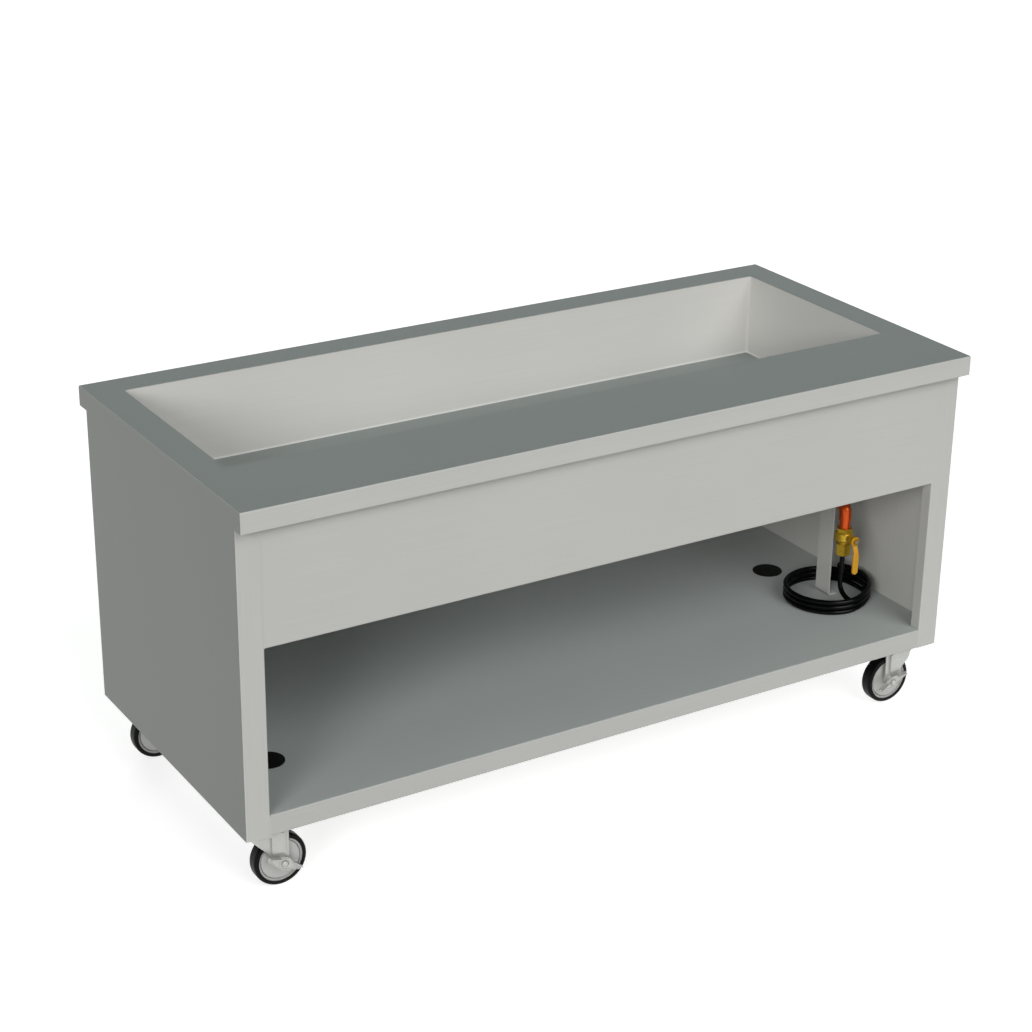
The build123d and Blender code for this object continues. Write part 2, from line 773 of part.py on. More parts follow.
# Bracket from the shelf to the well's jacket, a strip with a foot at each end
bracket_x = drain_x + pipe_diameter / 2 + hole_clearance
with BuildPart() as drain_bracket:
    bracket_line = [
        (bracket_x + bracket_foot, jacket_under),
        (bracket_x, jacket_under),
        (bracket_x, shelf_top),
        (bracket_x + bracket_foot, shelf_top),
    ]
    with BuildSketch(Plane.XZ.offset(-bracket_y)):
        bent_sheet(bracket_line, bracket_gauge)
    extrude(amount=bracket_width / 2, both=True)
save(drain_bracket, "drain_bracket")

# Strap that holds the copper run against the bracket
with BuildPart() as pipe_strap:
    inner_radius = pipe_diameter / 2 + hole_clearance
    outer_radius = inner_radius + strap_gauge
    reach = bracket_x - drain_x
    with BuildSketch(Plane((drain_x, bracket_y, run_z), x_dir=(1, 0, 0), z_dir=(0, -1, 0))):
        Circle(outer_radius)
        with Locations((reach / 2, 0)):
            Rectangle(reach, 2 * outer_radius)
        with Locations((reach - strap_gauge / 2, 0)):
            Rectangle(strap_gauge, 2 * (outer_radius + strap_tab))
        Circle(inner_radius, mode=Mode.SUBTRACT)
        with Locations((reach, 0)):
            Rectangle(2 * reach, 2 * inner_radius, mode=Mode.SUBTRACT)
    extrude(amount=strap_width / 2, both=True)
save(pipe_strap, "pipe_strap")

# Ball valve body: hex ends, round chamber, and a boss for the stem towards the front
ball_z = valve_bottom + ball_level
chamber_low = ball_level - chamber_half
chamber_high = ball_level + chamber_half
seat_half = ball_diameter / 2 - ball_clearance
stem_face = Plane((drain_x, valve_y, ball_z), x_dir=(1, 0, 0), z_dir=(0, -1, 0))
valve_base = Plane((drain_x, valve_y, valve_bottom))
with BuildPart() as valve_body:
    with BuildSketch(valve_base.offset(chamber_low)):
        Circle(chamber_diameter / 2)
    extrude(amount=2 * chamber_half)
    fillet(valve_body.edges().filter_by(GeomType.CIRCLE), chamber_round)
    with BuildSketch(valve_base.offset(chamber_high - chamber_round)):
        RegularPolygon(collar_width / 2, 6, major_radius=False)
    extrude(amount=valve_length - chamber_high + chamber_round)
    with BuildSketch(valve_base):
        Circle(neck_diameter / 2)
    extrude(amount=chamber_low)
    with BuildSketch(valve_base):
        RegularPolygon(lower_width / 2, 6, major_radius=False)
    extrude(amount=chamber_low - neck_height)
    with BuildSketch(stem_face):
        Circle(boss_diameter / 2)
    extrude(amount=boss_reach)
    with BuildSketch(valve_base):
        Circle(valve_bore / 2)
    extrude(amount=valve_length, mode=Mode.SUBTRACT)
    with BuildSketch(valve_base):
        Circle(adapter_diameter / 2 + pipe_clearance)
    extrude(amount=adapter_depth, mode=Mode.SUBTRACT)
    with BuildSketch(valve_base.offset(valve_length - valve_socket)):
        Circle(pipe_diameter / 2 + pipe_clearance)
    extrude(amount=valve_socket, mode=Mode.SUBTRACT)
    with BuildSketch(valve_base.offset(ball_level)):
        Circle(ball_diameter / 2 + ball_clearance)
    extrude(amount=seat_half, both=True, mode=Mode.SUBTRACT)
    with BuildSketch(stem_face):
        Circle(stem_diameter / 2 + running_clearance)
    extrude(amount=boss_reach, mode=Mode.SUBTRACT)
save(valve_body, "valve_body")

# Two seat rings, above and below the ball
with BuildPart() as valve_seats:
    for end in (-1, 1):
        with BuildSketch(valve_base.offset(ball_level + end * seat_half)):
            Circle(ball_diameter / 2)
            Circle(valve_bore / 2, mode=Mode.SUBTRACT)
        extrude(amount=-end * seat_gauge)
save(valve_seats, "valve_seats")

# Packing nut on the boss
with BuildPart() as packing_nut:
    with BuildSketch(stem_face.offset(boss_reach)):
        RegularPolygon(packing_width / 2, 6, major_radius=False)
        Circle(stem_diameter / 2 + running_clearance, mode=Mode.SUBTRACT)
    extrude(amount=packing_height)
save(packing_nut, "packing_nut")

# Adapter in the valve's lower end, with a lip that the hose butts against
with BuildPart() as hose_adapter:
    with BuildSketch(valve_base):
        Circle(adapter_diameter / 2)
    extrude(amount=adapter_depth)
    with BuildSketch(valve_base):
        Circle(adapter_flange / 2)
    extrude(amount=-adapter_lip)
    with BuildSketch(valve_base.offset(-adapter_lip)):
        Circle(adapter_bore / 2)
    extrude(amount=adapter_lip + adapter_depth, mode=Mode.SUBTRACT)
save(hose_adapter, "hose_adapter")

# Ball with its bore, and a seat for the stem
with BuildPart() as valve_ball:
    with Locations((drain_x, valve_y, ball_z)):
        Sphere(ball_diameter / 2)
    with BuildSketch(valve_base.offset(ball_level)):
        Circle(valve_bore / 2 - ball_clearance)
    extrude(amount=ball_diameter, both=True, mode=Mode.SUBTRACT)
    with BuildSketch(stem_face.offset(stem_seat)):
        Circle(stem_diameter / 2 + pipe_clearance)
    extrude(amount=ball_diameter, mode=Mode.SUBTRACT)
save(valve_ball, "valve_ball")

# Stem from the ball out to the lever's nut
lever_inner = boss_reach + packing_height + swivel_gap
lever_outer = lever_inner + lever_gauge
with BuildPart() as valve_stem:
    with BuildSketch(stem_face.offset(stem_seat)):
        Circle(stem_diameter / 2)
    extrude(amount=lever_outer + lever_nut_height - stem_seat)
save(valve_stem, "valve_stem")

# Cranked lever, hanging in line with the open bore
lever_y = valve_y - lever_inner
with BuildPart() as valve_lever:
    lever_line = [
        (lever_y - lever_crank, ball_z - lever_length),
        (lever_y - lever_crank, ball_z - lever_crank_end),
        (lever_y, ball_z - lever_crank_start),
        (lever_y, ball_z),
    ]
    with BuildSketch(Plane.YZ.offset(drain_x)):
        bent_sheet(lever_line, lever_gauge)
    extrude(amount=lever_width / 2, both=True)
    with BuildSketch(stem_face.offset(lever_inner)):
        Circle(lever_hub_radius)
    extrude(amount=lever_gauge)
    with BuildSketch(stem_face.offset(lever_inner)):
        Circle(stem_diameter / 2 + pipe_clearance)
    extrude(amount=lever_gauge, mode=Mode.SUBTRACT)
save(valve_lever, "valve_lever")

# Dipped grip on the lever's lower end, with a round tip
lever_end = ball_z - lever_length
grip_face = Plane(
    (drain_x, lever_y - lever_crank - lever_gauge / 2, lever_end - grip_tip + grip_length / 2),
    x_dir=(0, 0, 1),
    z_dir=(0, -1, 0),
)
with BuildPart() as lever_grip:
    with BuildSketch(grip_face):
        SlotOverall(grip_length, lever_width + 2 * grip_wall)
    extrude(amount=lever_gauge / 2 + grip_wall, both=True)
    for face in (lever_grip.faces().sort_by(Axis.Y)[0], lever_grip.faces().sort_by(Axis.Y)[-1]):
        fillet(face.edges(), grip_round)
    with BuildSketch(grip_face):
        with Locations((grip_tip, 0)):
            Rectangle(grip_length, lever_width)
    extrude(amount=lever_gauge / 2, both=True, mode=Mode.SUBTRACT)
save(lever_grip, "lever_grip")

# Nut that holds the lever on the stem
with BuildPart() as lever_nut:
    with BuildSketch(stem_face.offset(lever_outer)):
        RegularPolygon(lever_nut_width / 2, 6, major_radius=False)
        Circle(stem_diameter / 2 + pipe_clearance, mode=Mode.SUBTRACT)
    extrude(amount=lever_nut_height)
save(lever_nut, "lever_nut")

# Hose from the adapter down to the coil: straight runs with arcs as large as they allow
hose_rest = shelf_top + hose_diameter / 2 + shelf_clearance
hose_route = [Vector(drain_x, valve_y, valve_bottom - adapter_lip)]
hose_route += [Vector(drain_x + x, valve_y + y, hose_rest + lift) for x, y, lift in hose_points]
hose_runs = [after - before for before, after in zip(hose_route, hose_route[1:])]
bend_radii = []
for before, after in zip(hose_runs, hose_runs[1:]):
    half_turn = math.radians(before.get_angle(after)) / 2
    bend_radii.append(0.45 * min(before.length, after.length) / math.tan(half_turn))
print("hose runs", [round(run.length, 1) for run in hose_runs])
print("hose bend radii", [round(radius, 1) for radius in bend_radii])
with BuildPart() as drain_hose_drop:
    with BuildLine() as hose_line:
        FilletPolyline(*hose_route, radius=bend_radii)
    with BuildSketch(Plane(hose_route[0], z_dir=hose_runs[0])):
        Circle(hose_diameter / 2)
    sweep(path=hose_line.line)
save(drain_hose_drop, "drain_hose_drop")


def coil_point(angle):
    """Middle of the hose in its coil, which climbs smoothly by one layer near the end of each turn."""
    layer = 0
    for turn in range(coil_turns):
        climb = (angle - 360 * turn - climb_start) / (climb_end - climb_start)
        climb = min(max(climb, 0), 1)
        layer += climb * climb * (3 - 2 * climb)
    return Vector(
        coil_center[0] + coil_radius * math.cos(math.radians(angle)),
        coil_center[1] + coil_radius * math.sin(math.radians(angle)),
        hose_rest + layer * coil_pitch,
    )


def biarc(start, start_way, end, end_way):
    """Two tangent arcs from one point and direction to another, with equal tangent lengths."""
    chord = end - start
    ways = start_way + end_way
    a = 2 * (1 - start_way.dot(end_way))
    b = 2 * chord.dot(ways)
    reach = (math.sqrt(b * b + 4 * a * chord.dot(chord)) - b) / (2 * a)
    middle = (start + start_way * reach + end - end_way * reach) * 0.5
    first = TangentArc(start, middle, tangent=start_way)
    TangentArc(middle, end, tangent=first % 1)


# Coil: one unbroken tube on biarcs, straight for one diameter at each end
turn_angles = [90, 180, climb_start, (climb_start + climb_end) / 2, climb_end, 360]
coil_angles = [360 * turn + angle for turn in range(coil_turns) for angle in turn_angles]
coil_angles = [coil_start] + coil_angles + [coil_end]
lead_way = hose_runs[-1].normalized()
knots = [hose_route[-1] + lead_way * hose_diameter]
knots += [coil_point(angle) for angle in coil_angles]
ways = [lead_way]
ways += [(coil_point(angle + 0.5) - coil_point(angle - 0.5)).normalized() for angle in coil_angles]
with BuildPart() as drain_hose_coil:
    with BuildLine() as coil_line:
        Line(hose_route[-1], knots[0])
        for start, start_way, end, end_way in zip(knots, ways, knots[1:], ways[1:]):
            biarc(start, start_way, end, end_way)
        Line(knots[-1], knots[-1] + ways[-1] * hose_diameter)
    with BuildSketch(Plane(hose_route[-1], z_dir=lead_way)):
        Circle(hose_diameter / 2)
    sweep(path=coil_line.line)
save(drain_hose_coil, "drain_hose_coil")

# The hose's length, its tubes against section times length, and its least gap to itself
hose_section = math.pi * hose_diameter**2 / 4
sample_step = 5.0
samples = []
for builder, tube in ((hose_line, drain_hose_drop), (coil_line, drain_hose_coil)):
    wire = builder.wire()
    share = tube.part.volume / (hose_section * wire.length)
    print("hose length", round(wire.length, 1), "volume share", round(share, 4))
    count = round(wire.length / sample_step)
    samples += [wire.position_at(i / count) for i in range(count)]
skip = round(4 * hose_diameter / sample_step)
least = min(
    (samples[i] - samples[j]).length for i in range(len(samples)) for j in range(i + skip, len(samples))
)
print("least gap of the hose to itself", round(least - hose_diameter, 2))
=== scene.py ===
import json
import math

import bpy
import numpy as np
from mathutils import Matrix, Vector


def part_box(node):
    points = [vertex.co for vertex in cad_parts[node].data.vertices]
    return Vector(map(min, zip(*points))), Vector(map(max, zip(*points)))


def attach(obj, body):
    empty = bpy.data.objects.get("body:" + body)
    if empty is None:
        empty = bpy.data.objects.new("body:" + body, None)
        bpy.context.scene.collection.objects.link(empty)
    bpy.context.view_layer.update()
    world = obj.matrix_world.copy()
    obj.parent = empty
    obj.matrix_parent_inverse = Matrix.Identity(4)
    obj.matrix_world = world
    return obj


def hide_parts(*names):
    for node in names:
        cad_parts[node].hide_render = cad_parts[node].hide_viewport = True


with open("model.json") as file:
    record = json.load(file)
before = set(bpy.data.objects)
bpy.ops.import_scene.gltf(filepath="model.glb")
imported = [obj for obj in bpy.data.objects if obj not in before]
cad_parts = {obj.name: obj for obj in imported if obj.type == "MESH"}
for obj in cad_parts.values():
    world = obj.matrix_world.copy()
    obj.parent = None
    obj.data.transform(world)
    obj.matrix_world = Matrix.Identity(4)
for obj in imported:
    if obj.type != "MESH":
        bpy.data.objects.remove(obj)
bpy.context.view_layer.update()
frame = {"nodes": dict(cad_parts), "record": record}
nodes = frame["nodes"]
scene = bpy.context.scene
scene.view_settings.view_transform = "Standard"
print("frame loaded:", len(nodes), "solids")


# camera, above and to the left of the open front: metres, degrees, and millimetres for the lens
view = {
    "place": (-2.671, -4.240, 2.7053),
    "yaw": 31.75,
    "pitch": 23.215,
    "roll": 0.735,
    "lens": 81.09,
    "sensor": 36.0,
    "reach": 100.0,
}


def placeCamera(spec):
    yaw, pitch, roll = (math.radians(spec[key]) for key in ("yaw", "pitch", "roll"))
    forward = Vector((math.sin(yaw) * math.cos(pitch), math.cos(yaw) * math.cos(pitch), -math.sin(pitch)))
    level = Vector((math.cos(yaw), -math.sin(yaw), 0.0))
    upright = level.cross(forward)
    across = math.cos(roll) * level + math.sin(roll) * upright
    upwards = -math.sin(roll) * level + math.cos(roll) * upright
    turn = Matrix((across, upwards, -forward)).transposed().to_4x4()
    lensData = bpy.data.cameras.new("camera")
    lensData.lens = spec["lens"]
    lensData.sensor_width = spec["sensor"]
    lensData.clip_end = spec["reach"]
    camera = bpy.data.objects.new("camera", lensData)
    camera.matrix_world = Matrix.Translation(spec["place"]) @ turn
    scene.collection.objects.link(camera)
    return camera


scene.camera = placeCamera(view)
print("camera set")


# drain hose: down from the valve, out inside the coil's front, then wound up in layers;
# lengths in metres, angles in degrees
drainHose = {
    "diameter": 0.0125,
    "length": 2.309,
    "route": (
        (0.8, -0.177, 0.348),
        (0.8, -0.177, 0.30355),
        (0.796, -0.178, 0.25455),
        (0.820, -0.191, 0.21855),
        (0.862, -0.199, 0.21355),
        (0.894, -0.172, 0.21355),
        (0.9035, -0.145, 0.21355),
    ),
    "centre": (0.804, -0.122),
    "rest": 0.21355,
    "radius": 0.1054,
    "angles": (20.0, 1110.0),
    "turns": 3,
    "rise": 0.0132,
    "climbAt": 255.0,
    "climbOver": 67.0,
    "tail": 0.0125,
    "pointsPerTurn": 24,
    "stepsAround": 5,
    "stepsAlong": 6,
}


def hoseCoil(spec):
    # angle t goes round a circle of fixed radius, and near the end of each turn the height
    # steps up one layer by the smooth step 3s^2 - 2s^3
    first, last = spec["angles"]
    count = round((last - first) / 360.0 * spec["pointsPerTurn"]) + 1
    t = np.linspace(first, last, count)
    starts = spec["climbAt"] + 360.0 * np.arange(spec["turns"])
    s = np.clip((t[:, None] - starts) / spec["climbOver"], 0.0, 1.0)
    layer = (s * s * (3.0 - 2.0 * s)).sum(axis=1)
    a = np.radians(t)
    points = np.stack(
        (
            spec["centre"][0] + spec["radius"] * np.cos(a),
            spec["centre"][1] + spec["radius"] * np.sin(a),
            spec["rest"] + spec["rise"] * layer,
        ),
        axis=1,
    )
    ending = np.array((-math.sin(a[-1]), math.cos(a[-1]), 0.0))
    return np.vstack((points, points[-1] + spec["tail"] * ending))


def hoseCurve(spec):
    # a round section carried along the route's points and then the coil's
    points = np.vstack((np.array(spec["route"]), hoseCoil(spec)))
    data = bpy.data.curves.new("drainHose", "CURVE")
    data.dimensions = "3D"
    data.bevel_depth = 1.0
    data.bevel_resolution = spec["stepsAround"]
    data.resolution_u = spec["stepsAlong"]
    data.use_fill_caps = True
    spline = data.splines.new("NURBS")
    spline.points.add(len(points) - 1)
    spline.points.foreach_set("co", np.column_stack((points, np.ones(len(points)))).ravel())
    # the points carry the hose's own radius, so that the curve's box is the tube's and not wider
    spline.points.foreach_set("radius", np.full(len(points), spec["diameter"] / 2.0))
    spline.order_u = 3
    spline.use_endpoint_u = True
    hose = bpy.data.objects.new("drainHose", data)
    scene.collection.objects.link(hose)
    return hose


hose = hoseCurve(drainHose)
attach(hose, "cabinet")
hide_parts("drain_hose_drop", "drain_hose_coil")
print("hose laid:", len(hose.data.splines[0].points), "points")


# ground weld seams that close the joints of the apron and of the shelf's lip with the two stiles,
# in metres
seamWelds = {
    "halfWidth": 0.0016,
    "proud": 0.00025,
    "toe": 0.0001,  # how deep its two edges lie under the sheet's face
    "root": 0.0003,  # and its flat back
    "gap": 0.0005,  # left free at the top and the foot of a joint
    "steps": 9,
}


def weldSeams(spec):
    # the section is a shallow arc, proud by p(1 - u^2) for u from -1 to 1, closed by a flat root
    # inside the joint, and it is carried straight up the joint
    apron, shelf, top = (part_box(name) for name in ("front_apron", "bottom_shelf", "countertop"))
    joints = ((apron[0].z, top[0].z), (shelf[0].z, shelf[1].z))
    u = np.linspace(-1.0, 1.0, spec["steps"])
    side = np.concatenate((u, u[::-1])) * spec["halfWidth"]
    depth = np.concatenate((-spec["proud"] * (1.0 - u * u), np.full(spec["steps"], spec["root"])))
    depth[[0, spec["steps"] - 1]] = spec["toe"]
    count = len(side)
    ring = np.arange(count)
    walls = np.stack((ring, np.roll(ring, -1), np.roll(ring, -1) + count, ring + count), axis=1)
    points, faces = [], []
    for x in (apron[0].x, apron[1].x):
        for low, high in joints:
            first = count * len(points)
            for z in (low + spec["gap"], high - spec["gap"]):
                points.append(np.column_stack((x + side, apron[0].y + depth, np.full(count, z))))
            faces += (walls + first).tolist()
            faces += [(ring[::-1] + first).tolist(), (ring + first + count).tolist()]
    mesh = bpy.data.meshes.new("seamWelds")
    mesh.from_pydata(np.vstack(points).tolist(), [], faces)
    seams = bpy.data.objects.new("seamWelds", mesh)
    scene.collection.objects.link(seams)
    return seams


seams = weldSeams(seamWelds)
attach(seams, "cabinet")
print("weld seams:", len(seams.data.polygons), "faces")


def hexColour(code):
    # sRGB hex to linear values with full alpha
    parts = np.array([int(code[i:i + 2], 16) for i in (1, 3, 5)]) / 255.0
    linear = np.where(parts <= 0.04045, parts / 12.92, ((parts + 0.055) / 1.055) ** 2.4)
    return (*linear.tolist(), 1.0)


def addNode(tree, kind, settings=None, links=None):
    # settings go to the node's own properties or to its sockets, links bring outputs to its sockets
    node = tree.nodes.new(kind)
    for key, value in (settings or {}).items():
        if isinstance(key, int) or key in node.inputs:
            node.inputs[key].default_value = value
        else:
            setattr(node, key, value)
    for key, source in (links or {}).items():
        tree.links.new(source, node.inputs[key])
    return node


def newMaterial(name):
    material = bpy.data.materials.new(name)
    material.use_nodes = True
    material.node_tree.nodes.clear()
    return material, material.node_tree


# studio: a pale floor, and a white wall all round under a dim ceiling
studio = {
    "floorSize": 60.0,
    "floorColour": "#CACAC8",
    "floorWhite": 0.72,
    "wallColour": "#FFFFFF",
    "ceilingColour": "#C4ECE4",
    "skyStrength": 0.09,
    "ceilingStrength": 0.10,
    "ceilingRise": (0.15, 0.30),
}


def seenDirectly(tree):
    # one for rays that show the background: from the camera, from a gloss, through a clear piece
    path = addNode(tree, "ShaderNodeLightPath")
    pair = addNode(
        tree,
        "ShaderNodeMath",
        {"operation": "MAXIMUM"},
        {0: path.outputs["Is Camera Ray"], 1: path.outputs["Is Glossy Ray"]},
    )
    seen = addNode(
        tree,
        "ShaderNodeMath",
        {"operation": "MAXIMUM"},
        {0: pair.outputs[0], 1: path.outputs["Is Transmission Ray"]},
    )
    return seen.outputs[0]


def makeFloor(spec):
    half = spec["floorSize"] / 2.0
    corners = [(-half, -half, 0.0), (half, -half, 0.0), (half, half, 0.0), (-half, half, 0.0)]
    mesh = bpy.data.meshes.new("floor")
    mesh.from_pydata(corners, [], [(0, 1, 2, 3)])
    floor = bpy.data.objects.new("floor", mesh)
    scene.collection.objects.link(floor)
    # matt paper floor: the diffuse part takes the shadow, the rest lifts it to white for the eye alone
    paper, tree = newMaterial("matt paper floor")
    matt = addNode(tree, "ShaderNodeBsdfDiffuse", {"Color": hexColour(spec["floorColour"])})
    lift = addNode(
        tree,
        "ShaderNodeMath",
        {"operation": "MULTIPLY", 1: spec["floorWhite"]},
        {0: seenDirectly(tree)},
    )
    white = addNode(
        tree,
        "ShaderNodeEmission",
        {"Color": hexColour(spec["wallColour"])},
        {"Strength": lift.outputs[0]},
    )
    both = addNode(tree, "ShaderNodeAddShader", {}, {0: matt.outputs[0], 1: white.outputs[0]})
    addNode(tree, "ShaderNodeOutputMaterial", {}, {"Surface": both.outputs[0]})
    mesh.materials.append(paper)


def makeWalls(spec):
    # by its height the background goes from the wall to the ceiling, and it lights the object weakly
    world = bpy.data.worlds.new("studio")
    world.use_nodes = True
    scene.world = world
    tree = world.node_tree
    tree.nodes.clear()
    way = addNode(tree, "ShaderNodeTexCoord")
    rise = addNode(tree, "ShaderNodeSeparateXYZ", {}, {"Vector": way.outputs["Generated"]})
    high = addNode(
        tree,
        "ShaderNodeMapRange",
        {"From Min": spec["ceilingRise"][0], "From Max": spec["ceilingRise"][1]},
        {"Value": rise.outputs["Z"]},
    )
    tint = addNode(
        tree,
        "ShaderNodeMixRGB",
        {"Color1": hexColour(spec["wallColour"]), "Color2": hexColour(spec["ceilingColour"])},
        {"Fac": high.outputs[0]},
    )
    shown = addNode(
        tree,
        "ShaderNodeMapRange",
        {"To Min": 1.0, "To Max": spec["ceilingStrength"]},
        {"Value": high.outputs[0]},
    )
    strength = addNode(
        tree,
        "ShaderNodeMapRange",
        {"To Min": spec["skyStrength"]},
        {"Value": seenDirectly(tree), "To Max": shown.outputs[0]},
    )
    sky = addNode(
        tree,
        "ShaderNodeBackground",
        {},
        {"Color": tint.outputs[0], "Strength": strength.outputs[0]},
    )
    addNode(tree, "ShaderNodeOutputWorld", {}, {"Surface": sky.outputs[0]})


# soft lamps: azimuth from the open front, angles in degrees; one alone shows in a gloss
studioLamps = {
    "sideKey": {
        "azimuth": -50.0,
        "elevation": 20.0,
        "strength": 1.55,
        "spread": 24.0,
        "highlight": False,
    },
    "frontFill": {
        "azimuth": 8.0,
        "elevation": 36.0,
        "strength": 1.45,
        "spread": 40.0,
        "highlight": True,
    },
    "rearFill": {
        "azimuth": 150.0,
        "elevation": 8.0,
        "strength": 1.9,
        "spread": 40.0,
        "highlight": False,
    },
    "topFill": {
        "azimuth": 0.0,
        "elevation": 80.0,
        "strength": 0.3,
        "spread": 50.0,
        "highlight": False,
    },
}


def hangLamp(name, spec):
    azimuth, elevation = math.radians(spec["azimuth"]), math.radians(spec["elevation"])
    level = math.cos(elevation)
    out = Vector((math.sin(azimuth) * level, -math.cos(azimuth) * level, math.sin(elevation)))
    lampData = bpy.data.lights.new(name, "SUN")
    lampData.energy = spec["strength"]
    lampData.angle = math.radians(spec["spread"])
    lamp = bpy.data.objects.new(name, lampData)
    lamp.rotation_euler = out.to_track_quat("Z", "Y").to_euler()
    lamp.visible_glossy = spec["highlight"]
    scene.collection.objects.link(lamp)


makeFloor(studio)
makeWalls(studio)
for lampName, lampSpec in studioLamps.items():
    hangLamp(lampName, lampSpec)
print("studio set:", len(studioLamps), "lamps")


# faces that get a painted shade of their own, each by its distance from the origin in metres
wellGauge = 0.0015
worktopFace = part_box("countertop")[1].z
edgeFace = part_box("countertop")[1].x
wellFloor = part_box("cold_well_liner")[0].z + wellGauge
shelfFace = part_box("bottom_shelf")[1].z
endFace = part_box("right_end_panel")[1].x

# stainless sheets: colour, gloss, the grain's cell in metres along x, y and z, and the faces with
# their axis, distance and painted shade colour
stainlessSheets = {
    "stainless_top": {
        "colour": "#C0BFBB",
        "gloss": (0.40, 0.50),
        "grain": (0.30, 0.003, 0.003),
        # painted shade: the worktop's top face is darker and cooler, and its two end faces darker, for
        # how light falls on them
        "faces": (("Z", worktopFace, "#898E8C"), ("X", edgeFace, "#868785")),
    },
    "stainless_well": {
        # painted light: the well liner is lighter than the other sheets, for light on its walls in the
        # front rim's shade
        "colour": "#D6D4D0",
        "gloss": (0.42, 0.52),
        "grain": (0.30, 0.003, 0.003),
        # painted shade: the well's floor is darker and cooler, for the front rim's shade
        "faces": (("Z", wellFloor, "#8D9391"),),
    },
    "stainless_shelf": {
        "colour": "#BAB9B6",
        "gloss": (0.40, 0.50),
        "grain": (0.30, 0.003, 0.003),
        # painted light: the shelf's top face has a cooler tone of its own, for the cool light on upward
        # faces
        "faces": (("Z", shelfFace, "#B3B8B6"),),
    },
    "stainless_body": {
        "colour": "#C0BFBB",
        "gloss": (0.40, 0.50),
        "grain": (0.30, 0.003, 0.003),
        "faces": (),
    },
    "stainless_ends": {
        "colour": "#C0BFBB",
        "gloss": (0.40, 0.50),
        "grain": (0.003, 0.003, 0.30),
        # painted shade: the end panels' outer faces are darker, for the light that falls on them from the
        # side
        "faces": (("X", endFace, "#868785"),),
    },
}

# what the brushing belt leaves on every sheet, sizes in metres
beltBrush = {
    "streaks": (0.93, 1.05),
    "streakDetail": 3.0,
    "streakRoughness": 0.6,
    "clouds": (0.96, 1.04),
    "cloudDetail": 2.0,
    "cloudSize": 0.4,
    "scratchDepth": 0.0003,
    "scratchStrength": 0.06,
    "faceReach": 0.0006,
    "metal": 0.05,
    "specular": 0.25,
}


def brushedStainless(name, spec, brush):
    # stainless sheet brushed by a belt: a dull, even satin with long fine scratches one way; the
    # real scratches are some 0.1 mm apart and are drawn 3 mm apart here, so that they show
    material, tree = newMaterial("brushed " + name.replace("_", " "))
    place = addNode(tree, "ShaderNodeTexCoord")
    grain = addNode(
        tree,
        "ShaderNodeMapping",
        {"Scale": tuple(1.0 / cell for cell in spec["grain"])},
        {"Vector": place.outputs["Object"]},
    )
    scratch = addNode(
        tree,
        "ShaderNodeTexNoise",
        {"Scale": 1.0, "Detail": brush["streakDetail"], "Roughness": brush["streakRoughness"]},
        {"Vector": grain.outputs[0]},
    )
    cloud = addNode(
        tree,
        "ShaderNodeTexNoise",
        {"Scale": 1.0 / brush["cloudSize"], "Detail": brush["cloudDetail"]},
        {"Vector": place.outputs["Object"]},
    )
    streaks = addNode(
        tree,
        "ShaderNodeMapRange",
        {"To Min": brush["streaks"][0], "To Max": brush["streaks"][1]},
        {"Value": scratch.outputs["Fac"]},
    )
    shade = addNode(
        tree,
        "ShaderNodeMapRange",
        {"To Min": brush["clouds"][0], "To Max": brush["clouds"][1]},
        {"Value": cloud.outputs["Fac"]},
    )
    wear = addNode(
        tree,
        "ShaderNodeMath",
        {"operation": "MULTIPLY"},
        {0: streaks.outputs[0], 1: shade.outputs[0]},
    )
    axes = addNode(tree, "ShaderNodeSeparateXYZ", {}, {"Vector": place.outputs["Object"]})
    sheet = addNode(tree, "ShaderNodeRGB")
    sheet.outputs[0].default_value = hexColour(spec["colour"])
    # painted shade: each listed face gets a darker, cooler colour of its own in place of the sheet's
    for axis, distance, paintedShadeColour in spec["faces"]:
        away = addNode(tree, "ShaderNodeMath", {"operation": "ABSOLUTE"}, {0: axes.outputs[axis]})
        onShadedFace = addNode(
            tree,
            "ShaderNodeMath",
            {"operation": "COMPARE", 1: distance, 2: brush["faceReach"]},
            {0: away.outputs[0]},
        )
        sheet = addNode(
            tree,
            "ShaderNodeMixRGB",
            {"Color2": hexColour(paintedShadeColour)},
            {"Fac": onShadedFace.outputs[0], "Color1": sheet.outputs[0]},
        )
    tinted = addNode(
        tree,
        "ShaderNodeMixRGB",
        {"blend_type": "MULTIPLY", "Fac": 1.0},
        {"Color1": sheet.outputs[0], "Color2": wear.outputs[0]},
    )
    gloss = addNode(
        tree,
        "ShaderNodeMapRange",
        {"To Min": spec["gloss"][0], "To Max": spec["gloss"][1]},
        {"Value": scratch.outputs["Fac"]},
    )
    bump = addNode(
        tree,
        "ShaderNodeBump",
        {"Strength": brush["scratchStrength"], "Distance": brush["scratchDepth"]},
        {"Height": scratch.outputs["Fac"]},
    )
    satin = addNode(
        tree,
        "ShaderNodeBsdfPrincipled",
        {"Metallic": brush["metal"], "Specular IOR Level": brush["specular"]},
        {"Base Color": tinted.outputs[0], "Roughness": gloss.outputs[0], "Normal": bump.outputs[0]},
    )
    addNode(tree, "ShaderNodeOutputMaterial", {}, {"Surface": satin.outputs[0]})
    return material


